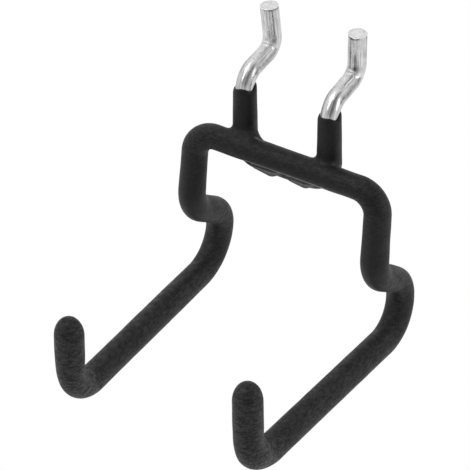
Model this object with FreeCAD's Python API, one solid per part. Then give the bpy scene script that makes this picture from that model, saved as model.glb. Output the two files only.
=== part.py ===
import FreeCAD, Part
import math
import os
from FreeCAD import Vector

# A double-arm hook for a perforated board, bent from two steel wires that are welded together
# and dipped in soft vinyl. X runs along the board, +Y goes back through it, +Z is up.
# The origin is on the board's front face, midway between the two pegs and level with their elbows.

# Board and wire
hole_pitch = 25.4
wire_dia = 4.88

# Hook wire, one half: distances from the middle plane at each corner
bar_half = 27.6
knee_half = 27.8
jog_half = 27.6
sweep_half = 28.5
front_half = 26.8
tip_half = 26.6

# Hook wire, seen from the side
leg_drop = 23.4
leg_lean = 2.8
jog_depth = 13.9
jog_drop = 9.7
sweep_flat = 0.5
arm_length = 72.6
arm_rise = 1.3
tip_rise = 23.0
tip_lean = 0.2

# Hook wire, radii of its bends on the centre line
bar_bend = 6.3
knee_bend = 9.0
jog_bend = 7.7
sweep_bend = 10.1
front_bend = 9.9

# Peg wire: a U whose run lies under the crossbar and whose ends go through the board.
# Its uprights are welded to the crossbar's back, a little to one side of the crossbar's middle.
hook_shift = 2.3
weld_bite = 0.98
run_gap = 1.12
run_bend = 5.5
peg_height = 19.2
peg_reach = 13.6
peg_climb = 1.6
peg_toe_in = 0.2
peg_end = 13.3
peg_end_lean = 0.9
peg_splay = 0.75
peg_bend = 4.8
peg_end_bend = 3.9

# Weld beads in the groove between the run and the crossbar
bead_spread = 5.3
bead_length = 6.2
bead_dia = 3.8
bead_proud = 1.8

# Vinyl skin: its thickness grows towards the tips, where it drained
skin_peg = 0.76
skin_bar = 0.86
skin_knee = 1.26
skin_jog = 1.22
skin_sweep = 1.18
skin_front = 1.36
skin_tip = 1.42
dome_height = 5.6
dome_lap = 2.4
sleeve_gap = 3.4
rim_height = 1.4
rim_skin = 0.28
web_radius = 1.6
web_clearance = 0.2

# Worked out from the sizes above
wire_r = wire_dia / 2
bead_r = bead_dia / 2
sleeve_r = wire_r + skin_peg
peg_y = -sleeve_r
peg_to_bar = wire_dia - weld_bite
run_to_bar = wire_dia + run_gap
run_drop = math.sqrt(run_to_bar ** 2 - peg_to_bar ** 2)
bar_middle = Vector(hook_shift, peg_y - peg_to_bar, -peg_height)
run_middle = Vector(0, peg_y, bar_middle.z - run_drop)
jog_turn = math.atan2(jog_depth, jog_drop)
sweep_turn = math.pi / 2 + math.atan2(arm_rise, arm_length)
sweep_drop = (jog_bend * math.tan(jog_turn / 2) + sweep_flat
              + sweep_bend * math.tan(sweep_turn / 2))
leg_foot = Vector(0, -leg_lean, -leg_drop)
jog_back = leg_foot + Vector(0, jog_depth, -jog_drop)
sweep_foot = jog_back + Vector(0, 0, -sweep_drop)
arm_front = sweep_foot + Vector(0, -arm_length, arm_rise)
tip_end = arm_front + Vector(0, tip_lean, tip_rise)

along_x = Vector(1, 0, 0)
same_size = 1e-6


def bend_setback(before, corner, after, radius):
    """How far from a corner its arc starts, along either run."""
    turn = (corner - before).getAngle(after - corner)
    return radius * math.tan(turn / 2)


def arc_piece(start, corner, end, radius, tube_r):
    """A bent length of tube: a disc turned about the arc's own axis."""
    into = (corner - start).normalize()
    out = (end - corner).normalize()
    axis = into.cross(out).normalize()
    centre = start + axis.cross(into) * radius
    disc = Part.Face(Part.Wire(Part.makeCircle(tube_r, start, into)))
    return disc.revolve(centre, axis, math.degrees(into.getAngle(out)))


def straight_piece(start, end, start_r, end_r):
    """A straight length of tube, tapered when its two radii differ."""
    run = end - start
    if abs(start_r - end_r) < same_size:
        return Part.makeCylinder(start_r, run.Length, start, run)
    return Part.makeCone(start_r, end_r, run.Length, start, run)


def tube_pieces(points, bends, radii):
    """Straight and bent lengths along a route. The corner radii and tube radii follow its points."""
    pieces = []
    here = points[0]
    for i in range(1, len(points) - 1):
        setback = bend_setback(points[i - 1], points[i], points[i + 1], bends[i - 1])
        start = points[i] + (points[i - 1] - points[i]).normalize() * setback
        end = points[i] + (points[i + 1] - points[i]).normalize() * setback
        pieces.append(straight_piece(here, start, radii[i - 1], radii[i]))
        pieces.append(arc_piece(start, points[i], end, bends[i - 1], radii[i]))
        here = end
    pieces.append(straight_piece(here, points[-1], radii[-2], radii[-1]))
    return pieces


def join(pieces):
    """One solid from pieces that share faces or cross."""
    return pieces[0].multiFuse(pieces[1:]).removeSplitter()


def both_sides(pieces, middle):
    """One solid from the right half's pieces and their mirror image."""
    half = join(pieces)
    return join([half, half.mirror(middle, along_x)])


def hook_route():
    """Corners of the right half of the hook wire, from the crossbar's middle to the cut end."""
    profile = [Vector(0, 0, 0), leg_foot, jog_back, sweep_foot, arm_front, tip_end]
    halves = [bar_half, knee_half, jog_half, sweep_half, front_half, tip_half]
    corners = [bar_middle + point + along_x * half for point, half in zip(profile, halves)]
    return [bar_middle] + corners


hook_bends = [bar_bend, knee_bend, jog_bend, sweep_bend, front_bend]


def peg_route():
    """Corners of the right half of the peg wire, from the middle of its run to its cut end."""
    foot = run_middle + along_x * (hole_pitch / 2)
    elbow = Vector(foot.x, foot.y, 0)
    heel = elbow + Vector(-peg_toe_in, peg_reach, peg_climb)
    cut_end = heel + Vector(peg_splay, -peg_end_lean, peg_end)
    return [run_middle, foot, elbow, heel, cut_end]


peg_bends = [run_bend, peg_bend, peg_end_bend]


def make_hook_wire():
    route = hook_route()
    return both_sides(tube_pieces(route, hook_bends, [wire_r] * len(route)), bar_middle)


def make_peg_wire(hook_wire):
    """The U of the pegs. Where it is pressed against the crossbar in welding, its side is flattened."""
    route = peg_route()
    pegs = both_sides(tube_pieces(route, peg_bends, [wire_r] * len(route)), run_middle)
    return pegs.cut(hook_wire)


def bead_pair(radius, length):
    """Two round beads in the groove between crossbar and run: cylinders with ball ends."""
    across = run_middle - Vector(0, bar_middle.y, bar_middle.z)
    outward = across.cross(along_x).normalize()
    groove = run_middle - across / 2 + outward * bead_proud
    middle = groove + along_x * bead_spread
    half = along_x * (length / 2 - radius)
    body = Part.makeCylinder(radius, 2 * half.Length, middle - half, along_x)
    bead = join([body, Part.makeSphere(radius, middle - half), Part.makeSphere(radius, middle + half)])
    return [bead, bead.mirror(run_middle, along_x)]


def make_weld_beads(wires):
    beads = [bead.cut(wires) for bead in bead_pair(bead_r, bead_length)]
    return Part.makeCompound([solid for bead in beads for solid in bead.Solids])


def tip_dome(base, out, radius):
    """The drained end of the skin: half an ellipse turned about the wire's own line."""
    side = out.cross(along_x).normalize()
    ellipse = Part.Ellipse(base + out * dome_height, base + side * radius, base)
    quarter = Part.Arc(ellipse, 0, math.pi / 2).toShape()
    top = base + out * dome_height
    rim = quarter.Vertexes[0].Point
    if rim.distanceToPoint(top) < same_size:
        rim = quarter.Vertexes[-1].Point
    outline = Part.Wire([quarter, Part.makeLine(rim, base), Part.makeLine(base, top)])
    return Part.Face(outline).revolve(base, out, 360)


def hook_skin_pieces():
    """Skin on one half of the hook wire. The dome at its end laps over the wire's cut end."""
    route = hook_route()
    out = (route[-1] - route[-2]).normalize()
    route[-1] = route[-1] - out * dome_lap
    skins = [skin_bar, skin_bar, skin_knee, skin_jog, skin_sweep, skin_front, skin_tip]
    radii = [wire_r + skin for skin in skins]
    return tube_pieces(route, hook_bends, radii) + [tip_dome(route[-1], out, radii[-1])]


def sleeve_pieces():
    """Skin on one half of the peg wire: along the run, round its bend and up to the tapered rim."""
    middle, foot, elbow = peg_route()[:3]
    top = elbow - Vector(0, 0, sleeve_gap + rim_height)
    rim = straight_piece(top, top + Vector(0, 0, rim_height), sleeve_r, wire_r + rim_skin)
    return tube_pieces([middle, foot, top], [run_bend], [sleeve_r] * 3) + [rim]


def round_seam(skin):
    """Webs where the skins run together. That seam alone is neither straight nor round.
    The web is no rounder than the inside of the run's bend, which it has to follow."""
    solid = skin.Solids[0]
    seam = [edge for edge in solid.Edges
            if not edge.Degenerated and isinstance(edge.Curve, Part.BSplineCurve)]
    web = min(web_radius, run_bend - sleeve_r - web_clearance)
    return solid.makeFillet(web, seam)


def make_coating(wires):
    """Hollow vinyl skin, closed round the hook wire and open at the two sleeve rims."""
    hook_skin = both_sides(hook_skin_pieces(), bar_middle)
    peg_skin = both_sides(sleeve_pieces(), run_middle)
    lumps = bead_pair(bead_r + skin_bar, bead_length + 2 * skin_bar)
    outer = join([round_seam(join([hook_skin, peg_skin]))] + lumps)
    return outer.cut(wires)


def make_parts():
    hook_wire = make_hook_wire()
    peg_wire = make_peg_wire(hook_wire)
    weld_beads = make_weld_beads([hook_wire, peg_wire])
    coating = make_coating([hook_wire, peg_wire, weld_beads])
    return {"hook_wire": hook_wire, "peg_wire": peg_wire, "weld_beads": weld_beads,
            "vinyl_coating": coating}


os.makedirs("parts", exist_ok=True)
for name, shape in make_parts().items():
    shape.exportStep("parts/" + name + ".step")
    print(name, "solids", len(shape.Solids), "valid", shape.isValid(), "volume", round(shape.Volume, 1))
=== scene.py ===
import math
import bpy
import numpy as np
from mathutils import Matrix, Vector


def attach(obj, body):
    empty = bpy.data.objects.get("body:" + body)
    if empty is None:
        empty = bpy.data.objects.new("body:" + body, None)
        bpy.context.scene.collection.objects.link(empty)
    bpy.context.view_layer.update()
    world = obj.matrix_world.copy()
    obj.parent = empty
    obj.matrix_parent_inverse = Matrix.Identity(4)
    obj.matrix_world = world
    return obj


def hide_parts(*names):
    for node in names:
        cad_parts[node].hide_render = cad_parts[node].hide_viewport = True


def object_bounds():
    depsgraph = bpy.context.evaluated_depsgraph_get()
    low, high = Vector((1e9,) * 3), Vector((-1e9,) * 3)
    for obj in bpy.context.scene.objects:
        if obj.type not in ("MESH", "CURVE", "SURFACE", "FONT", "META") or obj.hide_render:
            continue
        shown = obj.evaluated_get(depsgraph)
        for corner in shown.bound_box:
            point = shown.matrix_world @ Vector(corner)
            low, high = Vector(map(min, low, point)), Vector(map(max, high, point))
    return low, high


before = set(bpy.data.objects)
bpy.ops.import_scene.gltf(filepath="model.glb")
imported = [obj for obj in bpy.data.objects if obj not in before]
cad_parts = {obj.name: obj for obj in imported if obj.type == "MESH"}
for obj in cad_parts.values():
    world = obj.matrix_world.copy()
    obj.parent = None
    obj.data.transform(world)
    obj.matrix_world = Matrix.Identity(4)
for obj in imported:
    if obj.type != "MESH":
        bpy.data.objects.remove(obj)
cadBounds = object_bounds()
print("frame loaded:", sorted(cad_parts))

mm = 0.001

# the two bent wires, in millimetres, and how they lie to each other
wire = {
    "radius": 2.44,
    "hookShift": 2.3,  # the hook is welded this far off the pegs' middle
    "barToPegs": 3.9,  # from the crossbar back to the uprights
    "runToBar": 6.0,
    "pegHeight": 19.2,  # of the elbows over the crossbar
    "holePitch": 25.4,
}

# the hook's right half: corners from the crossbar's end to where the tip's dome starts, bends on
# the centre line, and the vinyl's outer radius at the crossbar's middle and at each corner
hook = {
    "corners": [(27.6, 0, 0), (27.8, -2.8, -23.4), (27.6, 11.1, -33.1), (28.5, 11.1, -47.9),
                (26.8, -61.5, -46.6), (26.6, -61.3, -26.0)],
    "bends": [6.3, 9.0, 7.7, 10.1, 9.9],
    "skin": [3.28, 3.38, 3.70, 3.67, 3.64, 3.78, 3.92],
    "domeHeight": 5.6,
    "wireLonger": 2.4,  # how far the wire reaches into the dome
    # how far each corner of this piece strays from an even bend, left and right
    "strays": {
        -1: [(0.12, 0, -0.12), (0, 0, 0.40), (0, 0, 0.40), (0, 0, 0), (0.10, 0, -0.13),
             (-0.23, 0, -0.7)],
        1: [(-0.12, 0, 0.12), (0.10, 0, -0.48), (0, 0, -0.70), (0, 0, 0), (0.05, 0, 0),
            (-0.05, 0, 0.7)],
    },
    # where the skin swells: length along the half, reach and extra radius
    "swells": {
        -1: [(28, 5, 0.20), (21, 4, -0.08), (46, 6, -0.06), (80, 8, -0.06), (128, 14, -0.08),
             (149, 4, -0.16), (156, 5, 0.06)],
        1: [(30, 7, 0.22), (20, 5, -0.10), (42, 10, 0.05), (61.6, 2.6, -0.24), (78, 22, 0.06),
            (146, 3, 0.45), (156, 6, 0.13)],
    },
}

# the U of the pegs: its run, uprights, the level stretch through the board and the upright ends
pegs = {
    "reach": (-0.2, 13.6, 1.6),
    "end": (0.75, -0.9, 13.3),
    "bends": [5.5, 4.8, 3.9],
    "endLonger": {-1: -0.65, 1: -0.05},  # how this piece's two ends differ from an even length
    "endTilt": {-1: 0.19, 1: 0.19},  # how far the sheared face rises towards its front edge
}
pegY = -(wire["radius"] + 0.76)  # the sleeves touch the board with 0.76 mm of skin
barMiddle = (wire["hookShift"], pegY - wire["barToPegs"], -wire["pegHeight"])
runZ = barMiddle[2] - math.sqrt(wire["runToBar"] ** 2 - wire["barToPegs"] ** 2)


def unit(v):
    return v / np.linalg.norm(v, axis=-1, keepdims=True)


# straight runs and tangent arcs through the corners: an arc starts bend * tan(turn / 2) before its
# corner, and the tube's radius goes evenly from corner to corner along each run
def routeParts(corners, bends, radii):
    corners = np.array(corners, float)
    parts = []
    here, done = corners[0], 0.0

    def addRun(start, end, low, high):
        length = float(np.linalg.norm(end - start))
        parts.append({"kind": "run", "start": start, "along": unit(end - start), "length": length,
                      "radii": (low, high), "from": done})
        return length

    for i in range(1, len(corners) - 1):
        into = unit(corners[i] - corners[i - 1])
        out = unit(corners[i + 1] - corners[i])
        turn = math.acos(float(into @ out))
        setback = bends[i - 1] * math.tan(turn / 2)
        start = corners[i] - into * setback
        done += addRun(here, start, radii[i - 1], radii[i])
        axis = unit(np.cross(into, out))
        inward = np.cross(axis, into)
        parts.append({"kind": "arc", "centre": start + inward * bends[i - 1], "axis": axis,
                      "first": -inward, "along": into, "turn": turn, "bend": bends[i - 1],
                      "length": bends[i - 1] * turn, "radii": (radii[i], radii[i]), "from": done})
        done += parts[-1]["length"]
        here = corners[i] + out * setback
    addRun(here, corners[-1], radii[-2], radii[-1])
    return parts


# one half of the hook: astray 0 leaves out this piece's own bends, longer carries its last run on
def hookRoute(side, radii, astray=1, longer=0):
    corners = np.array(hook["corners"]) * (side, 1, 1) + astray * np.array(hook["strays"][side])
    corners[-1] += longer * unit(corners[-1] - corners[-2])
    corners = np.concatenate([np.zeros((1, 3)), corners])
    return routeParts(corners + np.array(barMiddle), hook["bends"], radii)


# one half of the peg wire: along its run, up the upright, back through the board and up the end
def pegRoute(side, radius):
    foot = np.array([side * wire["holePitch"] / 2, pegY, runZ])
    elbow = np.array([foot[0], pegY, 0.0])
    heel = elbow + np.array(pegs["reach"]) * (side, 1, 1)
    end = np.array(pegs["end"]) * (side, 1, 1)
    end = end + unit(end) * pegs["endLonger"][side]
    corners = [(0, pegY, runZ), foot, elbow, heel, heel + end]
    return routeParts(corners, pegs["bends"], [radius] * len(corners))


# points of an arc: centre + bend * (cos(angle) * first + sin(angle) * along), angle a column
def arcPoints(part, angle):
    outward = np.cos(angle) * part["first"] + np.sin(angle) * part["along"]
    return part["centre"] + part["bend"] * outward


# how far off the line of a run or arc each point is, and how far along it
def partFoot(points, part):
    if part["kind"] == "run":
        away = points - part["start"]
        along = np.clip(away @ part["along"], 0, part["length"])
        foot = part["start"] + along[:, None] * part["along"]
    else:
        away = points - part["centre"]
        angle = np.arctan2(away @ part["along"], away @ part["first"])
        half = part["turn"] / 2
        angle = (angle - half + math.pi) % (2 * math.pi) - math.pi + half  # the nearest way round
        angle = np.clip(angle, 0, part["turn"])
        foot = arcPoints(part, angle[:, None])
        along = angle * part["bend"]
    return np.linalg.norm(points - foot, axis=1), along


# distance to the tube: off the line, less the radius at that place; each swell adds
# extra * exp(-((length - middle) / reach)^2) to the radius
def tubeDistance(points, parts, swells=()):
    nearest = np.full(len(points), np.inf)
    for part in parts:
        off, along = partFoot(points, part)
        low, high = part["radii"]
        radius = low + (high - low) * along / part["length"]
        for middle, reach, extra in swells:
            radius = radius + extra * np.exp(-((along + part["from"] - middle) / reach) ** 2)
        nearest = np.minimum(nearest, off - radius)
    return nearest


# joins two distances with a round web: a circle of that radius rolled along the corner between them
def roundUnion(a, b, radius):
    web = np.hypot(np.maximum(radius - a, 0), np.maximum(radius - b, 0))
    return np.maximum(radius, np.minimum(a, b)) - web


# strength * the mean of sine waves of about one length, in seeded directions
def swell(points, strength, length, seed, count=9):
    rng = np.random.default_rng(seed)
    direction = unit(rng.normal(size=(count, 3)))
    number = 2 * math.pi / (length * rng.uniform(0.7, 1.6, count))
    phase = rng.uniform(0, 2 * math.pi, count)
    return strength * np.sin(points @ (direction * number[:, None]).T + phase).mean(axis=1)


# 0 up to start and 1 from end on, even between them; start may be the higher
def ramped(value, start, end):
    return np.clip((value - start) / (end - start), 0, 1)


# stations along a route: centre, two axes across it, radius and length from the start;
# round an arc both axes turn about the arc's own axis, so the surface never twists
def stations(parts, step):
    side = unit(np.cross(parts[0]["along"], (0.13, 0.31, 0.94)))
    rows = []
    for part in parts:
        count = max(2, int(math.ceil(part["length"] / step)) + 1)
        share = np.linspace(0, 1, count)[:, None]
        tangent = part["along"]
        if part["kind"] == "run":
            centre = part["start"] + share * part["length"] * tangent
            angle = share * 0
            axis = side
        else:
            angle = share * part["turn"]
            centre = arcPoints(part, angle)
            axis = part["axis"]

        def turned(v):
            return (v * np.cos(angle) + np.cross(axis, v) * np.sin(angle)
                    + axis * (axis @ v) * (1 - np.cos(angle)))

        low, high = part["radii"]
        row = np.hstack([centre, turned(side), turned(np.cross(tangent, side)),
                         low + (high - low) * share, part["from"] + share * part["length"]])
        rows.append(row[1:] if rows else row)
        side = rows[-1][-1, 3:6]
    table = np.concatenate(rows)
    return table[:, 0:3], table[:, 3:6], table[:, 6:9], table[:, 9], table[:, 10]


# rings of a tube: centre + radius * (cos(angle) * side + sin(angle) * up)
def rings(centre, side, up, radius, sides):
    angles = np.linspace(0, 2 * math.pi, sides, endpoint=False)[None, :, None]
    across = np.cos(angles) * side[:, None] + np.sin(angles) * up[:, None]
    return centre[:, None] + radius[:, None, None] * across


# quads between neighbouring rings, and a fan to a last point at each end, in three blocks
def tubeFaces(rows, columns):
    row, column = np.meshgrid(np.arange(rows - 1), np.arange(columns), indexing="ij")
    after = (column + 1) % columns
    quads = np.stack([row * columns + column, row * columns + after,
                      (row + 1) * columns + after, (row + 1) * columns + column], -1).reshape(-1, 4)
    ring = np.arange(columns)
    following = (ring + 1) % columns
    first, last = rows * columns, rows * columns + 1
    lastRing = (rows - 1) * columns
    start = np.stack([following, ring, np.full(columns, first)], -1)
    end = np.stack([ring + lastRing, following + lastRing, np.full(columns, last)], -1)
    return [quads, start, end]


def newObject(name, points, blocks):
    mesh = bpy.data.meshes.new(name)
    faces = [face for block in blocks for face in block.tolist()]
    mesh.from_pydata((points * mm).tolist(), [], faces)
    mesh.update()
    obj = bpy.data.objects.new(name, mesh)
    bpy.context.collection.objects.link(obj)
    return obj


def closedTube(centre, side, up, radius, sides):
    grid = rings(centre, side, up, radius, sides)
    return np.concatenate([grid.reshape(-1, 3), centre[[0, -1]]]), tubeFaces(len(centre), sides)


# one tube from the right end to the left one: the right half's rings run backwards, and start at
# the point that lies nearest the left half's first one
def wholeTube(left, right, keys):
    sides = left["grid"].shape[1]
    match = [int(np.argmin(np.linalg.norm(right["grid"][0] - p, axis=1))) for p in left["grid"][0][:2]]
    step = 1 if (match[1] - match[0]) % sides == 1 else -1
    order = (match[0] + step * np.arange(sides)) % sides
    return [np.concatenate([right[key][::-1][:, order], left[key][1:]]) for key in keys]


# both halves as one closed object
def wholeObject(name, left, right):
    grid, = wholeTube(left, right, ("grid",))
    points = np.concatenate([grid.reshape(-1, 3), [right["end"], left["end"]]])
    return newObject(name, points, tubeFaces(*grid.shape[:2]))


def joined(name, shapes):
    points, blocks = [], []
    for shapePoints, shapeBlocks in shapes:
        offset = sum(map(len, points))
        blocks += [block + offset for block in shapeBlocks]
        points.append(shapePoints)
    return newObject(name, np.concatenate(points), blocks)


def evaluatedMesh(obj):
    return bpy.data.meshes.new_from_object(obj.evaluated_get(bpy.context.evaluated_depsgraph_get()))


def meshPoints(mesh):
    points = np.empty(len(mesh.vertices) * 3)
    mesh.vertices.foreach_get("co", points)
    return points.reshape(-1, 3) / mm


def setAttribute(obj, key, values):
    attribute = obj.data.attributes.new(key, "FLOAT", "POINT")
    attribute.data.foreach_set("value", values)


# rows, with the last one repeated that many times more
def repeatLast(rows, count):
    return np.concatenate([rows, np.repeat(rows[-1:], count, 0)])


# the skin of dipped vinyl
vinyl = {
    "voxel": 0.372,
    "roughStep": 1.0,
    "roughSides": (32, 24),  # of the tubes and of the lumps, before they are merged
    "coreSides": 32,
    "coreStep": 2.0,
    "web": 1.5,
    # where the dip drained together: the web's radius grows by extra
    "bigWeb": {"at": (-7.8, -4.9, -16.2), "reach": 4.2, "extra": 3.2},
    # along a half of the hook: how black the skin is and how grainy, from the crossbar's middle
    "blackness": [(0, 0.0030), (22, 0.0035), (30, 0.0070), (46, 0.0070), (54, 0.0040),
                  (62, 0.0045), (72, 0.0100), (86, 0.0065), (134, 0.0060), (142, 0.0140),
                  (150, 0.0115), (165, 0.0100)],
    "grain": [(0, 0.60), (14, 0.60), (22, 0.90), (28, 0.50), (36, 0.20), (46, 0.20), (54, 0.80),
              (62, 0.80), (72, 0.30), (86, 0.7), (134, 0.8), (142, 1.1), (150, 0.8), (165, 0.7)],
    "sleeveBlackness": 0.0022,
    "sleeveGrain": 0.25,
    # where the film under the crossbar starts and ends and how softly, and its pale streaks, painted
    # highlights on the webs: two ends, width and how pale
    # the pale film is partly dust and partly a painted reflection of the floor below
    "filmEnds": (-9.8, 16.5),
    "filmSoft": 1.5,
    "filmBelow": (1.2, 2.0),  # below the crossbar's middle, from none to all of it
    "paintedHighlightStreaks": [((-8.1, -6.2, -15.6), (-4.6, -5.8, -16.2), 0.20, 0.75),
                ((14.8, -6.0, -15.7), (16.2, -5.5, -16.1), 0.3, 0.12)],
    # millimetres off the hook's skin, the sleeves' or the lumps' where each finish starts and is full
    "sleeveOff": (0.4, 1.2),
    "sleeveNear": (0.8, 0.4),
    "lumpNear": (0.4, 0.0),
    "veilNear": (1.9, 1.0),
    "lineNear": (0.5, 0.0),
    "veilLeast": (0.25, 0.15),  # how much of the veil is left away from the lumps and the crossbar
    "veilShift": 0.9,  # how far it lies to the lumps' right
    "runSkin": 3.2,
    "runSwells": {-1: [(10.5, 2.6, 0.30)], 1: [(8.5, 3.0, 0.08)]},
    "sleeveFoot": 3.3,
    "sleeveTop": 3.08,
    "rimRadius": 2.72,
    "rimHeight": 1.5,
    "rimCurve": 2.5,
    "rimEdge": 0.22,
    # the rims' height, and how much each rises in front, dips beside it and ends in a lip
    "rims": {
        -1: {"at": -3.55, "front": 0.95, "dip": -0.35, "lip": 1.2},
        1: {"at": -2.85, "front": 0.35, "dip": -0.75, "lip": 0.7},
    },
    "rimHumps": {"front": (-82, 48), "dip": (-18, 24), "lip": (38, 24)},  # angle and width, in degrees
    "rimTilt": (0.35, 32),  # how far it is tilted, and towards which angle
    # over the welds: place along X, half length, radius at the left and at the right end
    "lumps": [(-3.9, 1.5, 2.25, 2.64), (6.3, 1.5, 2.2, 2.52),
              (-5.3, 1.2, 2.1, 2.1), (5.3, 1.2, 2.1, 2.1)],
    "lumpProud": 1.8,
    "lumpWeb": 0.8,
    "wave": (0.05, 6.0, 5),  # how strong, how long and which seed
    "lineWave": (0.05, 2.5, 31),
    # the pale line is a painted highlight along the crossbar's lower edge
    "lineTurn": 31.7,  # the pale line runs along the crossbar, this many degrees below its foremost
}


# height of the sleeve's rim round the peg, with the angle measured from +X towards +Y:
# at + tilt * cos(angle - its turn) + the sum of each hump's rise * exp(-(angle off it / width)^2)
def rimHeight(angle, side):
    rim = vinyl["rims"][side]
    tilt, turn = vinyl["rimTilt"]
    height = rim["at"] + tilt * np.cos(angle - math.radians(turn))
    for name, (at, width) in vinyl["rimHumps"].items():
        off = (angle - math.radians(at) + math.pi) % (2 * math.pi) - math.pi
        height += rim[name] * np.exp(-(off / math.radians(width)) ** 2)
    return height


# each lump's middle, in the groove between the crossbar and the run, and its sizes
def lumpPlaces():
    across = np.array([0, wire["barToPegs"], runZ - barMiddle[2]])
    outward = unit(np.cross(across, (1, 0, 0)))
    groove = np.array([0, pegY, runZ]) - across / 2 + outward * vinyl["lumpProud"]
    return [(groove + (x, 0, 0), half, low, high) for x, half, low, high in vinyl["lumps"]]


# distance to the lumps: short thick runs whose radius grows from left to right
def lumpDistance(points):
    nearest = np.full(len(points), np.inf)
    for place, half, low, high in lumpPlaces():
        away = points - place
        along = np.clip(away[:, 0], -half, half)
        radius = low + (high - low) * (along / half + 1) / 2
        away[:, 0] -= along
        nearest = np.minimum(nearest, np.linalg.norm(away, axis=1) - radius)
    return nearest


# the whole skin as a distance: tubes, sleeves, lumps and domes joined by round webs
def skinDistance():
    hookParts = [hookRoute(side, hook["skin"]) for side in (-1, 1)]
    runParts = {side: pegRoute(side, vinyl["runSkin"])[:2] for side in (-1, 1)}
    uprights = [pegRoute(side, 1.0)[2] for side in (-1, 1)]

    def domeDistance(points, last, swells):
        base = last["start"] + last["along"] * last["length"]
        end = last["from"] + last["length"]
        radius = last["radii"][1] + sum(extra * math.exp(-((end - middle) / reach) ** 2)
                                        for middle, reach, extra in swells)
        size = np.array([radius, hook["domeHeight"]])
        up = (points - base) @ last["along"]
        off = np.linalg.norm(points - base - up[:, None] * last["along"], axis=1)
        scaled = np.stack([off, up], -1) / size
        near = np.linalg.norm(scaled, axis=1)
        return near * (near - 1) / np.maximum(np.linalg.norm(scaled / size, axis=1), 1e-9), up

    def sleeveDistance(points, side):
        upright = uprights[side > 0]
        x, y = points[:, 0] - upright["start"][0], points[:, 1] - upright["start"][1]
        top = rimHeight(np.arctan2(y, x), side)
        under = top - points[:, 2]
        share = np.clip(under / (top - upright["start"][2]), 0, 1)
        radius = vinyl["sleeveTop"] + (vinyl["sleeveFoot"] - vinyl["sleeveTop"]) * share
        taper = ramped(under, vinyl["rimHeight"], 0) ** vinyl["rimCurve"]
        radius = radius - (radius - vinyl["rimRadius"]) * taper
        tube = np.hypot(x, y) - radius
        tube = -roundUnion(-tube, under, vinyl["rimEdge"])  # the edge at the rim, a little rounded
        return np.maximum(tube, upright["start"][2] - points[:, 2])

    def distance(points):
        hooks = np.full(len(points), np.inf)
        for side, parts in zip((-1, 1), hookParts):
            swells = hook["swells"][side]
            hooks = np.minimum(hooks, tubeDistance(points, parts[:-1], swells))
            last = tubeDistance(points, parts[-1:], swells)
            dome, up = domeDistance(points, parts[-1], swells)
            hooks = np.minimum(hooks, np.where(up > 0, dome, last))
        peg = np.full(len(points), np.inf)
        for side, parts in runParts.items():
            peg = np.minimum(peg, tubeDistance(points, parts, vinyl["runSwells"][side]))
            peg = np.minimum(peg, sleeveDistance(points, side))
        big = vinyl["bigWeb"]
        near = np.exp(-np.sum((points - np.array(big["at"])) ** 2, axis=1) / big["reach"] ** 2)
        skin = roundUnion(hooks, peg, vinyl["web"] + big["extra"] * near)
        skin = roundUnion(skin, lumpDistance(points), vinyl["lumpWeb"])
        return skin + swell(points, *vinyl["wave"])
    return distance


# which place of the skin a point lies at: the length along its half of the hook, and how far it
# stands off the hook's own skin and off the two uprights' sleeves
def skinPlace(points):
    best = np.full(len(points), np.inf)
    off = best
    along = np.zeros(len(points))
    for side in (-1, 1):
        for part in hookRoute(side, hook["skin"]):
            away, length = partFoot(points, part)
            low, high = part["radii"]
            away = away - low - (high - low) * length / part["length"]
            along = np.where(away < best, part["from"] + length, along)
            best = np.minimum(away, best)
            off = np.minimum(off, tubeDistance(points, [part], hook["swells"][side]))
    off = off + swell(points, *vinyl["wave"])
    sleeve = np.full(len(points), np.inf)
    for side in (-1, 1):
        sleeve = np.minimum(sleeve, tubeDistance(points, pegRoute(side, vinyl["sleeveFoot"])[2:3]))
    return along, off, sleeve


# finish of the skin at each point: blackness and grain by the length along the hook, the millimetres
# it stands off the crossbar's skin and off the pale line, the share of the film, its veil and the line
# that is there, and how pale a streak is:
# the sum of change * exp(-(distance to the streak / width)^2) * sin(pi * share of its length).
# The pale line and the streaks are painted highlights, the film and its veil are partly dust and partly
# a painted reflection of the floor below, and the stand-off also sets the groove's painted shade
def skinFinish(points):
    along, off, sleeve = skinPlace(points)
    black = np.interp(along, *np.array(vinyl["blackness"]).T)
    grain = np.interp(along, *np.array(vinyl["grain"]).T)
    onSleeve = ramped(off, *vinyl["sleeveOff"]) * ramped(sleeve, *vinyl["sleeveNear"])
    black += (vinyl["sleeveBlackness"] - black) * onSleeve
    grain += (vinyl["sleeveGrain"] - grain) * onSleeve
    low = ramped(barMiddle[2] - points[:, 2], *vinyl["filmBelow"])
    below = np.degrees(np.arctan2(barMiddle[2] - points[:, 2], barMiddle[1] - points[:, 1]))
    lineOff = np.radians(below - vinyl["lineTurn"]) * hook["skin"][0]
    lineOff += swell(points, *vinyl["lineWave"])
    first, last = vinyl["filmEnds"]
    soft = vinyl["filmSoft"]
    within = ramped(points[:, 0], first, first + soft) * ramped(points[:, 0], last, last - soft)
    pale = np.zeros(len(points))
    # each streak is a painted highlight along a web
    for start, end, width, change in vinyl["paintedHighlightStreaks"]:
        run = np.array(end) - start
        share = np.clip((points - start) @ run / (run @ run), 0, 1)[:, None]
        near = np.exp(-(np.linalg.norm(points - start - share * run, axis=1) / width) ** 2)
        pale += change * near * np.sin(math.pi * share[:, 0])
    # the veil, partly dust and partly a painted reflection of the floor below, is thickest on the lumps
    # and fades away from the crossbar
    offLumps, offBar = vinyl["veilLeast"]
    onLump = ramped(lumpDistance(points - (vinyl["veilShift"], 0, 0)), *vinyl["lumpNear"])
    onLump = offLumps + (1 - offLumps) * onLump
    fade = np.maximum(ramped(off, *vinyl["veilNear"]), offBar)
    return {"blackness": black, "grain": grain, "standOff": np.clip(off, 0, 1), "film": low * within,
            "veil": low * within * onLump * fade, "lineOff": np.clip(lineOff, -1, 1),
            "line": within * ramped(off, *vinyl["lineNear"]), "streak": np.clip(pale, 0, 1)}


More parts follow.
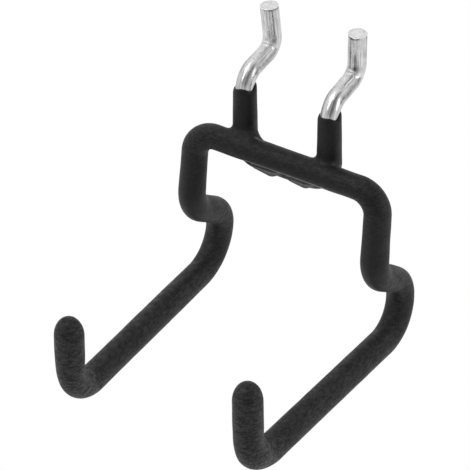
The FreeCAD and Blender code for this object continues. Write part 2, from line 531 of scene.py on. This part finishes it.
# evens out the points, then moves each down the slope of the distance to where it is zero
def settle(points, edges, distance, rounds, gap=0.01, evening=0.6, leastSlope=0.2):
    degree = np.bincount(edges.ravel(), minlength=len(points))[:, None]
    for smooth in rounds:
        if smooth:
            total = [np.bincount(edges[:, 0], points[edges[:, 1], k], len(points))
                     + np.bincount(edges[:, 1], points[edges[:, 0], k], len(points)) for k in range(3)]
            points = (1 - evening) * points + evening * np.stack(total, -1) / degree
        value = distance(points)
        slope = np.stack([(distance(points + gap * axis) - value) / gap for axis in np.eye(3)], -1)
        steep = np.maximum(np.sum(slope ** 2, axis=1), leastSlope)
        points = points - slope * (value / steep)[:, None]
    return points


# the skin's outside: rough tubes, domes and lumps are merged into one even mesh, whose points then
# settle on the distance above
def makeSkin():
    rough = []
    tubeSides, lumpSides = vinyl["roughSides"]
    for side in (-1, 1):
        parts = hookRoute(side, hook["skin"])
        centre, across, up, radius, _ = stations(parts, vinyl["roughStep"])
        rise = np.linspace(0, 1, 9)[1:-1]
        dome = centre[-1] + (rise * hook["domeHeight"])[:, None] * parts[-1]["along"]
        centre = np.concatenate([centre, dome])
        radius = np.concatenate([radius, radius[-1] * np.sqrt(1 - rise ** 2)])
        across, up = repeatLast(across, len(rise)), repeatLast(up, len(rise))
        rough.append(closedTube(centre, across, up, radius, tubeSides))
        parts = pegRoute(side, vinyl["sleeveFoot"] - 0.1)[:3]
        parts[2]["length"] = vinyl["rims"][side]["at"] + 0.8 - parts[2]["start"][2]  # just past the rim
        rough.append(closedTube(*stations(parts, vinyl["roughStep"])[:4], tubeSides))
    for place, half, low, high in lumpPlaces():
        turn = np.linspace(0, math.pi, 17)[1:-1]
        centre = place + np.outer(-np.cos(turn) * (low + half), (1, 0, 0))
        across, up = [np.repeat([a], len(turn), 0) for a in ((0.0, 1.0, 0.0), (0.0, 0.0, 1.0))]
        rough.append(closedTube(centre, across, up, high * np.sin(turn) ** 0.6, lumpSides))
    blank = joined("roughSkin", rough)
    remesh = blank.modifiers.new("even", "REMESH")
    remesh.mode = "VOXEL"
    remesh.voxel_size = vinyl["voxel"] * mm
    mesh = evaluatedMesh(blank)
    bpy.data.objects.remove(blank)
    edges = np.empty(len(mesh.edges) * 2, int)
    mesh.edges.foreach_get("vertices", edges)
    distance = skinDistance()
    points = settle(meshPoints(mesh), edges.reshape(-1, 2), distance, [1, 0, 1, 1, 0, 1, 0, 0])
    mesh.vertices.foreach_set("co", (points * mm).ravel())
    mesh.update()
    skin = bpy.data.objects.new("vinylSkin", mesh)
    bpy.context.collection.objects.link(skin)
    worst = float(np.abs(distance(points)).max())
    print("vinyl skin:", len(mesh.vertices), "points, off the surface by", round(worst, 3))
    return skin


# what the hook's wire fills inside the skin, from tip to tip: rings about its even centre line
def makeCore():
    halves = []
    for side in (-1, 1):
        parts = hookRoute(side, [wire["radius"]] * len(hook["skin"]), 0, hook["wireLonger"])
        centre, across, up, radius, _ = stations(parts, vinyl["coreStep"])
        grid = rings(centre, across, up, radius, vinyl["coreSides"])
        halves.append({"grid": grid, "end": centre[-1]})
    return wholeObject("core", *halves)


def cutHoles(skin, fillings):
    for filling in fillings:
        hole = skin.modifiers.new("hole", "BOOLEAN")
        hole.object = filling
        hole.operation = "DIFFERENCE"
        hole.solver = "MANIFOLD"
    cutMesh = evaluatedMesh(skin)
    skin.modifiers.clear()
    skin.data = cutMesh
    print("skin cut:", len(cutMesh.vertices), "points,", len(cutMesh.polygons), "faces")


# bare zinc-plated pegs: places on them are a length past the elbow's start and an angle round the
# wire, in degrees from the side that faces front right and up
steel = {
    "sides": 120,
    "fineStep": 0.16,
    "hiddenStep": 1.6,
    "edgeRound": 0.10,
    "burr": 0.05,
    "burrDepth": 0.25,
    "tiltDepth": 0.8,  # how far down the wire the tilt of its end reaches
    "brightness": 0.93,
    "faceBrightness": 1.02,
    # waves: how strong, how long and which seed
    "ragged": (0.7, 1.1, 21),
    "mottle": (0.16, 2.6, 22),
    "uneven": (0.010, 3.0, 23),
    "scuffWave": (0.020, 0.9, 24),
    "burrWave": (1.2, 1.6, 25),
    "faceWave": (0.03, 2.2, 26),
    "faceMottle": (0.12, 1.4, 27),
    # a bright edge and a darker ring on the sheared face: share of its radius inside the edge, width
    # and change of tone
    "faceEdges": [(0.0, 0.06, 0.10), (0.16, 0.06, -0.13)],
    "facing": (0.434, -0.677, 0.595),  # the angles are 0 on the side that faces this way
    "rightward": (0.842, 0.54, 0.0),  # and grow towards this one
    "faceRings": [0.88, 0.74, 0.58, 0.42, 0.25, 0.1],  # on the sheared face, by share of its radius
    "lineSoft": 0.5,
    # drawn lines and painted dark reflections, by side: from and to along the wire, angle, width,
    # change of tone
    "lines": {
        -1: [(18.6, 27.6, 17.5, 2.6, -0.44), (17.6, 23.5, 0, 2.8, -0.34), (22.0, 27.6, -3, 2.6, -0.22),
             (19.0, 27.6, -13, 3.0, -0.20), (19.0, 27.4, -28, 4.0, -0.16), (19.0, 27.0, 9, 4.0, 0.14),
             # the bands from 4.5 to 15.0, 0.0 to 6.6 and 0.0 to 8.0 are painted dark reflections: on
             # the level stretch, between the elbow's highlights and at its left edge
             (4.5, 15.0, 42, 16, -0.38), (0.0, 6.6, 4, 6.0, -0.30), (0.0, 8.0, -66, 12, -0.24),
             (6.5, 11.0, -4, 4.0, -0.20), (9.5, 14.0, 12, 3.5, -0.22)],
        1: [(18.6, 27.4, -48, 3.2, -0.46), (17.8, 23.2, -14, 3.2, -0.40), (21.5, 27.0, -21, 3.5, -0.18),
            (19.5, 26.0, -4, 3.0, -0.16), (19.0, 27.0, 34, 12.0, 0.06), (19.0, 28.0, 66, 5.0, -0.34),
            # the bands from 4.5 to 15.0, 0.0 to 6.6 and 0.0 to 8.0 are painted dark reflections: on the
            # level stretch, between the elbow's highlights and at its left edge
            (4.5, 15.0, 41, 16, -0.44), (0.0, 6.6, 2, 4.2, -0.44), (0.0, 8.0, -66, 12, -0.26),
            (8.8, 14.2, 7, 2.8, -0.46), (8.6, 13.8, -10, 2.8, -0.38), (8.8, 13.8, -1, 4.0, 0.45)],
    },
    # painted highlights and shade, by side: length, reach along, angle, reach round, change of tone,
    # and how far pressed, which dents the wire
    "paintedLightAndShade": {
        # painted shade in the heel's crease dents, in a groove and over its highlight, a painted
        # highlight on the heel and on a ridge, painted shadow under the sheared end's burr, and a
        # painted highlight on the edge above the sleeve
        -1: [(17.9, 0.9, -38, 14, -0.32, -0.05), (17.7, 1.0, 13, 12, -0.50, -0.08),
             (15.9, 0.3, -20, 40, 0.16, 0.05), (14.9, 0.3, -25, 34, -0.26, -0.06),
             (15.2, 0.9, -38, 16, -0.20, 0.0), (14.5, 0.8, 14, 14, 0.45, 0.0),
             (27.45, 0.17, -5, 65, -0.50, 0.0), (27.3, 0.36, 50, 22, -0.44, 0.0),
             (0.9, 0.3, 62, 20, 0.35, 0.0)],
        # painted shade in the heel's crease dents, in a groove and over its highlight, a painted
        # highlight on the heel and on a ridge, painted shadow under the sheared end's burr, and a
        # painted highlight on the edge above the sleeve
        1: [(17.9, 1.3, -8, 16, -0.92, -0.09), (14.5, 0.8, 14, 14, 0.45, 0.0),
            (17.6, 0.8, -46, 14, -0.36, -0.05), (15.9, 0.3, -20, 40, 0.16, 0.05),
            (14.9, 0.3, -25, 34, -0.30, -0.06), (15.2, 0.9, -38, 16, -0.20, 0.0),
            (27.9, 0.38, -50, 18, -0.80, 0.0), (27.8, 0.20, -14, 26, -0.50, 0.0),
            (27.8, 0.50, 67, 9, -0.75, 0.0), (0.9, 0.3, 62, 20, 0.35, 0.0)],
    },
    # scuffed by the bending tool: from and to along the wire, angle, width
    "scuffs": [(6.0, 15.5, -48, 44), (15.0, 19.0, -10, 60)],
    "scuffSoft": 1.2,
    "scuffEdge": (4 / 3, 0.5),  # where a scuff starts and is full, by share of its width
}


# the tone, how far in or out, and how scuffed a place on a peg is: each line (drawn marks and painted
# dark reflections) and each blotch of painted highlight and shade adds change * ragged *
# exp(-(distance / reach)^2) to the tone, and a blotch adds its press to the shift
def pegMarks(points, length, angle, side):
    # the lines, drawn marks and painted dark reflections alike, wander a little round the wire
    wobble = angle + 2.2 * np.sin(length * 1.3 + side) + 1.2 * np.sin(length * 3.1 + 2)
    ragged = 1 + swell(points, *steel["ragged"])
    tone = steel["brightness"] + swell(points, *steel["mottle"])
    shift = swell(points, *steel["uneven"])
    scuff = np.zeros(len(points))

    def within(low, high, soft):
        half = soft / 2
        return ramped(length, low - half, low + half) * ramped(length, high + half, high - half)

    for low, high, at, width, change in steel["lines"][side]:
        near = within(low, high, steel["lineSoft"]) * np.exp(-((wobble - at) / width) ** 2)
        tone += change * ragged * near
    # each adds painted highlight and shade to the tone, and its press dents the wire
    for at, reach, turn, width, change, press in steel["paintedLightAndShade"][side]:
        near = np.exp(-((length - at) / reach) ** 2 - ((angle - turn) / width) ** 2)
        tone += change * ragged * near
        shift += press * near
    for low, high, turn, width in steel["scuffs"]:
        across = ramped(np.abs(wobble - turn) / width, *steel["scuffEdge"])
        scuff = np.maximum(scuff, within(low, high, steel["scuffSoft"]) * across)
    shift += scuff * swell(points, *steel["scuffWave"])
    return np.clip(tone, 0.12, 1.5), shift, np.clip(scuff, 0, 1)


# stations of one half of the wire: wide apart where the skin hides it, close together beyond, where
# the two axes are turned to go on as they did
def pegStations(parts):
    hidden = stations(parts[:3], steel["hiddenStep"])
    keep = hidden[4] < parts[3]["from"] - 1.0
    fine = stations(parts[3:], steel["fineStep"])
    before, after = hidden[1][-1], fine[1][0]
    spin = math.atan2(np.cross(before, after) @ parts[3]["along"], before @ after)
    across = math.cos(spin) * fine[1] - math.sin(spin) * fine[2]
    up = math.sin(spin) * fine[1] + math.cos(spin) * fine[2]
    fine = (fine[0], across, up, fine[3], fine[4])
    return [np.concatenate([a[keep], b]) for a, b in zip(hidden, fine)]


# angle round the wire of each place, in degrees, and the direction that is 0 at the sheared end
def roundAngles(across, up, outward):
    facing = np.array(steel["facing"])
    tangent = np.cross(across, up)[:, None]
    front = unit(facing - (tangent @ facing)[..., None] * tangent)
    rightward = np.cross(front, tangent)
    angle = np.degrees(np.arctan2(np.sum(rightward * outward, -1), np.sum(front * outward, -1)))
    if (rightward[-1] @ np.array(steel["rightward"])).item() < 0:
        angle = -angle
    return angle, front[-1, 0]


# half the U of wire: rings along the centre line with radius r + shift, closed by a sheared end that
# is wavy and tilted, and whose edge stands out by burr * exp(-(depth / burrDepth)^2)
def pegHalf(side):
    sides = steel["sides"]
    parts = pegRoute(side, wire["radius"])
    centre, across, up, radius, length = pegStations(parts)
    ahead = parts[-1]["along"]
    rim = steel["edgeRound"]
    turn = np.linspace(0, math.pi / 2, 4)[1:]
    inner = np.array(steel["faceRings"])
    lift = np.concatenate([rim * (np.sin(turn) - 1), inner * 0])
    extra = np.concatenate([radius[-1] - rim + rim * np.cos(turn), (radius[-1] - rim) * inner])
    centre[-1] -= rim * ahead
    sideRings = len(centre)
    centre = np.concatenate([centre, centre[-1] + (lift + rim)[:, None] * ahead])
    radius = np.concatenate([radius, extra])
    across, up, length = [repeatLast(rows, len(extra)) for rows in (across, up, length)]
    grid = rings(centre, across, up, radius, sides)
    outward = unit(grid - centre[:, None])
    angle, front = roundAngles(across, up, outward)
    past = np.repeat(length - parts[3]["from"], sides)
    depth = np.repeat(length[-1] - length, sides)
    onSide = np.repeat(np.arange(len(centre)) < sideRings, sides)
    flat = grid.reshape(-1, 3)
    # the tone carries drawn marks and painted highlights, shade and dark reflections
    tone, shift, scuff = pegMarks(flat, past, angle.ravel(), side)
    burr = steel["burr"] * np.exp(-(depth / steel["burrDepth"]) ** 2)
    burr = burr * (1 + swell(flat, *steel["burrWave"]))
    wave = swell(flat, *steel["faceWave"])
    flat = flat + np.where(onSide, shift + burr, 0)[:, None] * outward.reshape(-1, 3)
    flat = flat + np.where(onSide, 0, wave)[:, None] * ahead
    atEnd = ramped(depth, steel["tiltDepth"], 0)
    towardsFront = ((grid - centre[:, None]) @ front).ravel()
    tilt = pegs["endTilt"][side] * atEnd * towardsFront / wire["radius"]
    flat = flat + tilt[:, None] * ahead
    inset = np.repeat((wire["radius"] - radius) / wire["radius"], sides)
    faceTone = steel["faceBrightness"] + swell(flat, *steel["faceMottle"])
    for at, width, change in steel["faceEdges"]:
        faceTone += change * np.exp(-((inset - at) / width) ** 2)
    tone = np.where(onSide, tone, faceTone)
    scuff = np.where(onSide, scuff, 1.0)
    middle = centre[-1] + swell(centre[-1:], *steel["faceWave"])[0] * ahead
    return {"grid": flat.reshape(grid.shape), "length": length, "end": middle,
            "tone": tone.reshape(-1, sides), "scuff": scuff.reshape(-1, sides)}


def makePegs():
    left, right = pegHalf(-1), pegHalf(1)
    obj = wholeObject("pegWire", left, right)
    for key, values in zip(("tone", "scuff"), wholeTube(left, right, ("tone", "scuff"))):
        setAttribute(obj, key, np.concatenate([values.ravel(), [1.0, 1.0]]))
    # the drawn coordinate: round the wire and along it, for marks that follow its length
    drawn = np.concatenate([right["length"][::-1], -left["length"][1:]])
    turn = np.linspace(0, 2 * math.pi, steel["sides"], endpoint=False)
    roundWire = np.tile(np.stack([np.cos(turn), np.sin(turn)], -1), (len(drawn), 1))
    drawnPlace = np.hstack([roundWire, np.repeat(drawn, steel["sides"])[:, None]])
    ends = [[0, 0, drawn[0]], [0, 0, drawn[-1]]]
    attribute = obj.data.attributes.new("drawnPlace", "FLOAT_VECTOR", "POINT")
    attribute.data.foreach_set("vector", np.concatenate([drawnPlace, ends]).ravel())
    obj.data.shade_smooth()
    obj.data.set_sharp_from_angle(angle=math.radians(50))
    print("pegs:", len(obj.data.vertices), "points,", len(obj.data.polygons), "faces")
    return obj


def newMaterial(name):
    material = bpy.data.materials.new(name)
    material.use_nodes = True
    nodes, links = material.node_tree.nodes, material.node_tree.links
    place = nodes.new("ShaderNodeTexCoord").outputs["Object"]
    return material, nodes, links, nodes["Principled BSDF"], place


def noiseNode(nodes, links, vector, scale, detail=3.0, rough=0.5):
    noise = nodes.new("ShaderNodeTexNoise")
    noise.inputs["Scale"].default_value = scale
    noise.inputs["Detail"].default_value = detail
    noise.inputs["Roughness"].default_value = rough
    links.new(vector, noise.inputs["Vector"])
    return noise.outputs["Fac"]


# a grey for each stop between 0 and 1
def stopsNode(nodes, links, source, stops):
    ramp = nodes.new("ShaderNodeValToRGB")
    while len(ramp.color_ramp.elements) < len(stops):
        ramp.color_ramp.elements.new(0.5)
    for element, (position, level) in zip(ramp.color_ramp.elements, stops):
        element.position = position
        element.color = (level, level, level, 1)
    links.new(source, ramp.inputs["Fac"])
    return ramp.outputs["Color"]


def rampNode(nodes, links, source, low, high, lowAt=0.3, highAt=0.7):
    return stopsNode(nodes, links, source, [(lowAt, low), (highAt, high)])


def bumpNode(nodes, links, height, strength, distance, normal=None):
    bump = nodes.new("ShaderNodeBump")
    bump.inputs["Strength"].default_value = strength
    bump.inputs["Distance"].default_value = distance
    links.new(height, bump.inputs["Height"])
    if normal:
        links.new(normal, bump.inputs["Normal"])
    return bump.outputs["Normal"]


def mappedNode(nodes, links, vector, scale):
    mapping = nodes.new("ShaderNodeMapping")
    mapping.inputs["Scale"].default_value = scale
    links.new(vector, mapping.inputs["Vector"])
    return mapping.outputs["Vector"]


def attributeNode(nodes, name):
    attribute = nodes.new("ShaderNodeAttribute")
    attribute.attribute_name = name
    return attribute


def mathNode(nodes, links, operation, a, b):
    node = nodes.new("ShaderNodeMath")
    node.operation = operation
    for source, socket in ((a, node.inputs[0]), (b, node.inputs[1])):
        if isinstance(source, (int, float)):
            socket.default_value = source
        else:
            links.new(source, socket)
    return node.outputs["Value"]


# -1 to 1 brought to 0 to 1, for a ramp
def halved(nodes, links, source):
    value = mathNode(nodes, links, "MULTIPLY_ADD", source, 0.5)
    value.node.inputs[2].default_value = 0.5
    return value


def mixNode(nodes, links, share, a, b):
    node = nodes.new("ShaderNodeMix")
    node.data_type = "FLOAT"
    for source, socket in ((share, 0), (a, 2), (b, 3)):
        links.new(source, node.inputs[socket])
    return node.outputs[0]


# finish of the vinyl, by the millimetres off the crossbar's skin for the groove and the film beyond
# it, and by the millimetres round the crossbar for the pale line; speckle, veil and cloud are noises
# with their scale, detail and roughness. The groove's darkening is painted shade, the pale line is a
# painted highlight, and the film is partly dust and partly a painted reflection of the floor below
blackVinyl = {
    "speckle": (2700, 1.0),
    "ripple": (600, 600, 2100),
    "contrast": 7.0,
    "leastStrength": 0.1,
    # painted shade in the groove under the crossbar, by millimetres off its skin
    "groove": [(0.03, 0.0), (0.08, 0.9), (0.35, 0.8), (0.60, 0.0)],
    "film": [(0.40, 0.0), (0.70, 1.0)],
    # painted highlight along the crossbar: its profile across, by millimetres round the crossbar
    "line": [(-0.24, 0.0), (-0.07, 1.0), (0.09, 1.0), (0.26, 0.0)],
    "veil": (900, 3.0, 0.6),
    "filmTone": (0.06, 0.17),
    "lineTone": (0.10, 0.29),
    "streakTone": 0.30,
    "cloud": (160, 3.0, 0.55),
    "roughness": (0.50, 0.62),
    "grainGloss": 0.5,  # how much smoother a pale grain is
    "veilBump": (0.40, 0.0002),
    "grainBump": (1.0, 0.0001),
    "specular": 0.27,
    "sheen": 0.06,
    "sheenRoughness": 0.4,
}


# black dipped vinyl: base = blackness * (1 + contrast * grain * speckle), where the speckle is fine
# noise and level ripples, which bump the surface too; under the crossbar the groove is darkened by
# painted shade, with the pale film beyond it, partly dust and partly a painted reflection of the floor,
# and a pale line of painted highlight runs along the crossbar above it, with pale streaks of painted
# highlight on the webs
def vinylMaterial():
    material, nodes, links, shader, place = newMaterial("blackVinyl")

    def multiplied(a, b):
        return mathNode(nodes, links, "MULTIPLY", a, b)

    def attribute(key):
        return attributeNode(nodes, key).outputs["Fac"]

    speckle = noiseNode(nodes, links, place, *blackVinyl["speckle"])
    rippled = mappedNode(nodes, links, place, blackVinyl["ripple"])
    ripple = noiseNode(nodes, links, rippled, 1.0, 1.0)
    mottle = mathNode(nodes, links, "ADD", speckle, ripple)
    swing = multiplied(mathNode(nodes, links, "SUBTRACT", mottle, 1.0), attribute("grain"))
    strength = mathNode(nodes, links, "ADD", multiplied(swing, blackVinyl["contrast"]), 1.0)
    strength = mathNode(nodes, links, "MAXIMUM", strength, blackVinyl["leastStrength"])
    tone = multiplied(attribute("blackness"), strength)
    off = attribute("standOff")
    # painted shade: the vinyl darkens in the groove under the crossbar
    groove = multiplied(stopsNode(nodes, links, off, blackVinyl["groove"]), attribute("film"))
    tone = multiplied(tone, mathNode(nodes, links, "SUBTRACT", 1.0, groove))
    veil = noiseNode(nodes, links, place, *blackVinyl["veil"])
    # the pale film: partly dust, partly a painted reflection of the floor below
    film = multiplied(stopsNode(nodes, links, off, blackVinyl["film"]),
                      rampNode(nodes, links, veil, *blackVinyl["filmTone"]))
    # the pale line is a painted highlight along the crossbar
    lineStops = [((at + 1) / 2, level) for at, level in blackVinyl["line"]]
    line = stopsNode(nodes, links, halved(nodes, links, attribute("lineOff")), lineStops)
    line = multiplied(multiplied(line, attribute("line")),
                      rampNode(nodes, links, veil, *blackVinyl["lineTone"]))
    # the pale streaks are painted highlights on the webs
    streak = multiplied(attribute("streak"), blackVinyl["streakTone"])
    pale = mathNode(nodes, links, "ADD", multiplied(film, attribute("veil")), line)
    pale = mathNode(nodes, links, "ADD", pale, streak)
    links.new(mathNode(nodes, links, "ADD", tone, pale), shader.inputs["Base Color"])
    cloud = noiseNode(nodes, links, place, *blackVinyl["cloud"])
    rough = rampNode(nodes, links, cloud, *blackVinyl["roughness"])
    rough = mathNode(nodes, links, "SUBTRACT", rough, multiplied(swing, blackVinyl["grainGloss"]))
    links.new(rough, shader.inputs["Roughness"])
    coarse = bumpNode(nodes, links, veil, *blackVinyl["veilBump"])
    fine = bumpNode(nodes, links, swing, *blackVinyl["grainBump"], coarse)
    links.new(fine, shader.inputs["Normal"])
    shader.inputs["Specular IOR Level"].default_value = blackVinyl["specular"]
    shader.inputs["Sheen Weight"].default_value = blackVinyl["sheen"]
    shader.inputs["Sheen Roughness"].default_value = blackVinyl["sheenRoughness"]
    return material


# finish of the zinc: noises with their scale, detail and roughness, scales along the drawn wire, tones
# with the stops where they start and end, and bumps
brightZinc = {
    "cloud": (420, 4.0, 0.6),
    "fleck": (1500, 3.0, 0.65),
    "streak": (5.5, 5.5, 0.10),
    "scratch": (16, 16, 0.22),
    "streakTone": (0.54, 0.80, 0.38, 0.60),
    "scratchTone": (0.62, 1.0, 0.34, 0.46),
    "scuffTone": (0.60, 0.80, 0.35, 0.62),
    "roughness": (0.20, 0.34),
    "scuffRoughness": (0.42, 0.58),
    "streakBump": (0.10, 0.00012),
    "cloudBump": (0.12, 0.00010),
    "scuffBump": (0.35, 0.00010),
}


# bright zinc: dull streaks and die lines run along the wire, in the drawn coordinate; the sheared
# ends and what the bending tool rubbed are paler and rougher
def zincMaterial():
    material, nodes, links, shader, place = newMaterial("brightZinc")
    shader.inputs["Metallic"].default_value = 1.0
    drawn = attributeNode(nodes, "drawnPlace").outputs["Vector"]
    # the tone attribute holds drawn marks and painted highlights, shade and dark reflections
    toneMark = attributeNode(nodes, "tone").outputs["Fac"]
    scuffMark = attributeNode(nodes, "scuff").outputs["Fac"]
    cloud = noiseNode(nodes, links, place, *brightZinc["cloud"])
    fleck = noiseNode(nodes, links, place, *brightZinc["fleck"])
    alongWire = mappedNode(nodes, links, drawn, brightZinc["streak"])
    streak = noiseNode(nodes, links, alongWire, 1.0, 3.0, 0.6)
    dieLines = mappedNode(nodes, links, drawn, brightZinc["scratch"])
    scratch = noiseNode(nodes, links, dieLines, 1.0, 2.0)
    drawnTone = mathNode(nodes, links, "MULTIPLY",
                         rampNode(nodes, links, streak, *brightZinc["streakTone"]),
                         rampNode(nodes, links, scratch, *brightZinc["scratchTone"]))
    scuffTone = rampNode(nodes, links, fleck, *brightZinc["scuffTone"])
    mixed = mixNode(nodes, links, scuffMark, drawnTone, scuffTone)
    links.new(mathNode(nodes, links, "MULTIPLY", mixed, toneMark), shader.inputs["Base Color"])
    smooth = rampNode(nodes, links, cloud, *brightZinc["roughness"])
    scuffed = rampNode(nodes, links, fleck, *brightZinc["scuffRoughness"])
    links.new(mixNode(nodes, links, scuffMark, smooth, scuffed), shader.inputs["Roughness"])
    lines = bumpNode(nodes, links, streak, *brightZinc["streakBump"])
    pits = bumpNode(nodes, links, cloud, *brightZinc["cloudBump"], lines)
    flecks = mathNode(nodes, links, "MULTIPLY", fleck, scuffMark)
    rubbed = bumpNode(nodes, links, flecks, *brightZinc["scuffBump"], pits)
    links.new(rubbed, shader.inputs["Normal"])
    return material


# the steel that the skin covers
coveredSteel = {
    "cloud": (300, 4.0, 0.6),
    "tone": (0.34, 0.46),
    "roughness": (0.40, 0.60),
    "bump": (0.3, 0.0001),
}


def steelMaterial():
    material, nodes, links, shader, place = newMaterial("plainSteel")
    shader.inputs["Metallic"].default_value = 1.0
    cloud = noiseNode(nodes, links, place, *coveredSteel["cloud"])
    links.new(rampNode(nodes, links, cloud, *coveredSteel["tone"]), shader.inputs["Base Color"])
    links.new(rampNode(nodes, links, cloud, *coveredSteel["roughness"]), shader.inputs["Roughness"])
    links.new(bumpNode(nodes, links, cloud, *coveredSteel["bump"]), shader.inputs["Normal"])
    return material


# the camera: where it looks from and how far, in degrees and millimetres
view = {
    "azimuth": 32.66,
    "elevation": 36.5,
    "roll": -0.60,
    "distance": 1075.9,
    "focalPixels": 4198.6,
    "imageSide": 470,
    "middlePixel": (286.2, 161.73),  # where the crossbar's middle shows
}


# from the part to the camera
def viewBack():
    a, e = math.radians(view["azimuth"]), math.radians(view["elevation"])
    return np.array([math.sin(a) * math.cos(e), -math.cos(a) * math.cos(e), math.sin(e)])


def makeCamera():
    a, roll = math.radians(view["azimuth"]), math.radians(view["roll"])
    back = viewBack()
    right = np.array([math.cos(a), math.sin(a), 0.0])
    up = np.cross(back, right)
    turnedRight = math.cos(roll) * right + math.sin(roll) * up
    turnedUp = -math.sin(roll) * right + math.cos(roll) * up
    centre = (view["imageSide"] - 1) / 2
    scale = view["distance"] / view["focalPixels"]
    shiftX = (view["middlePixel"][0] - centre) * scale
    shiftY = -(view["middlePixel"][1] - centre) * scale
    place = (np.array(barMiddle) - shiftX * turnedRight - shiftY * turnedUp
             + view["distance"] * back) * mm
    data = bpy.data.cameras.new("camera")
    data.sensor_width = 36
    data.lens = view["focalPixels"] * data.sensor_width / view["imageSide"]
    data.clip_start, data.clip_end = 0.05, 50
    camera = bpy.data.objects.new("camera", data)
    camera.matrix_world = placed(turnedRight, turnedUp, back, place)
    bpy.context.collection.objects.link(camera)
    bpy.context.scene.camera = camera


def placed(right, up, back, at):
    matrix = Matrix([[*right, 0], [*up, 0], [*back, 0], [0, 0, 0, 1]]).transposed()
    matrix.translation = at
    return matrix


# the studio, in metres and watts
studio = {
    "floorDrop": 0.45,
    "floorHalf": 6.0,
    "floorGrey": 0.85,
    "plainLight": 0.80,
    # how bright what mirrors in the part is, by the cosine of its angle off the studio's dim side
    "mirrored": [(-1.0, 0.80), (-0.5, 1.0), (0.1, 1.0), (0.6, 0.75), (0.95, 0.32)],
    "dimSide": (0.434, -0.677, 0.595),
    "lamps": [
        {"name": "topLamp", "at": (-0.35, -0.25, 0.95), "size": (0.7, 0.7), "power": 2.5},
        {"name": "leftLamp", "at": (-0.33, -0.712, 0.62), "size": (0.22, 0.6), "power": 1.0},
        {"name": "rightLamp", "at": (0.95, 0.10, 0.30), "size": (0.25, 0.7), "power": 1.4},
    ],
}


# brightness of the studio in a direction: a ramp over its cosine with the dim side
def mirroredLight(nodes, links, direction):
    towards = nodes.new("ShaderNodeVectorMath")
    towards.operation = "DOT_PRODUCT"
    towards.inputs[1].default_value = studio["dimSide"]
    links.new(direction, towards.inputs[0])
    stops = [((cosine + 1) / 2, level) for cosine, level in studio["mirrored"]]
    return stopsNode(nodes, links, halved(nodes, links, towards.outputs["Value"]), stops)


# white to the camera and through glass, the studio's brightness in reflections, and plain light
# otherwise
def seenWhite(nodes, links, lit, white, mirrored, output):
    path = nodes.new("ShaderNodeLightPath")
    camera, glass = path.outputs["Is Camera Ray"], path.outputs["Is Transmission Ray"]
    either = mathNode(nodes, links, "MAXIMUM", camera, glass)
    for share, shader in ((path.outputs["Is Glossy Ray"], mirrored), (either, white)):
        mix = nodes.new("ShaderNodeMixShader")
        links.new(share, mix.inputs["Fac"])
        links.new(lit, mix.inputs[1])
        links.new(shader, mix.inputs[2])
        lit = mix.outputs["Shader"]
    links.new(lit, output)


def makeWorld():
    world = bpy.data.worlds.new("studio")
    bpy.context.scene.world = world
    world.use_nodes = True
    nodes, links = world.node_tree.nodes, world.node_tree.links
    plain = nodes["Background"]
    plain.inputs["Color"].default_value = (1, 1, 1, 1)
    plain.inputs["Strength"].default_value = studio["plainLight"]
    mirrored = nodes.new("ShaderNodeBackground")
    direction = nodes.new("ShaderNodeTexCoord").outputs["Generated"]
    links.new(mirroredLight(nodes, links, direction), mirrored.inputs["Color"])
    white = nodes.new("ShaderNodeBackground")
    white.inputs["Color"].default_value = (1, 1, 1, 1)
    seenWhite(nodes, links, plain.outputs["Background"], white.outputs["Background"],
              mirrored.outputs["Background"], nodes["World Output"].inputs["Surface"])


def makeFloor():
    half, bottom = studio["floorHalf"], cadBounds[0][2] - studio["floorDrop"]
    corners = [(x * half, y * half, bottom) for x, y in ((-1, -1), (1, -1), (1, 1), (-1, 1))]
    mesh = bpy.data.meshes.new("floor")
    mesh.from_pydata(corners, [], [(0, 1, 2, 3)])
    floor = bpy.data.objects.new("floor", mesh)
    bpy.context.collection.objects.link(floor)
    material = bpy.data.materials.new("paleFloor")
    material.use_nodes = True
    nodes, links = material.node_tree.nodes, material.node_tree.links
    nodes.remove(nodes["Principled BSDF"])
    matte = nodes.new("ShaderNodeBsdfDiffuse")
    matte.inputs["Color"].default_value = (*[studio["floorGrey"]] * 3, 1)
    glow = nodes.new("ShaderNodeEmission")
    below = nodes.new("ShaderNodeEmission")
    downwards = nodes.new("ShaderNodeVectorMath")  # from the part to the floor's place
    downwards.operation = "NORMALIZE"
    links.new(nodes.new("ShaderNodeTexCoord").outputs["Object"], downwards.inputs[0])
    links.new(mirroredLight(nodes, links, downwards.outputs["Vector"]), below.inputs["Color"])
    seenWhite(nodes, links, matte.outputs["BSDF"], glow.outputs["Emission"], below.outputs["Emission"],
              nodes["Material Output"].inputs["Surface"])
    floor.data.materials.append(material)


def makeLamps():
    for lamp in studio["lamps"]:
        data = bpy.data.lights.new(lamp["name"], "AREA")
        data.shape = "RECTANGLE"
        data.size, data.size_y = lamp["size"]
        data.energy = lamp["power"]
        light = bpy.data.objects.new(lamp["name"], data)
        back = unit(np.array(lamp["at"]))
        right = unit(np.cross((0, 0, 1), back))
        light.matrix_world = placed(right, np.cross(back, right), back, lamp["at"])
        bpy.context.collection.objects.link(light)


skin = makeSkin()
pegWire = makePegs()
core = makeCore()
cutHoles(skin, (core, pegWire))
bpy.data.objects.remove(core)
for key, values in skinFinish(meshPoints(skin.data)).items():
    setAttribute(skin, key, values)
skin.data.shade_smooth()
skin.data.set_sharp_from_angle(angle=math.radians(45))
skin.data.materials.clear()
skin.data.materials.append(vinylMaterial())
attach(skin, "root")
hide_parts("vinyl_coating")

pegWire.data.materials.append(zincMaterial())
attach(pegWire, "root")
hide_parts("peg_wire")

covered = steelMaterial()
for name in ("hook_wire", "weld_beads"):
    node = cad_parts[name]
    node.data.materials.clear()
    node.data.materials.append(covered)
print("materials set")

makeCamera()
makeWorld()
makeFloor()
makeLamps()
bpy.context.scene.view_settings.view_transform = "Standard"
print("camera and studio set")
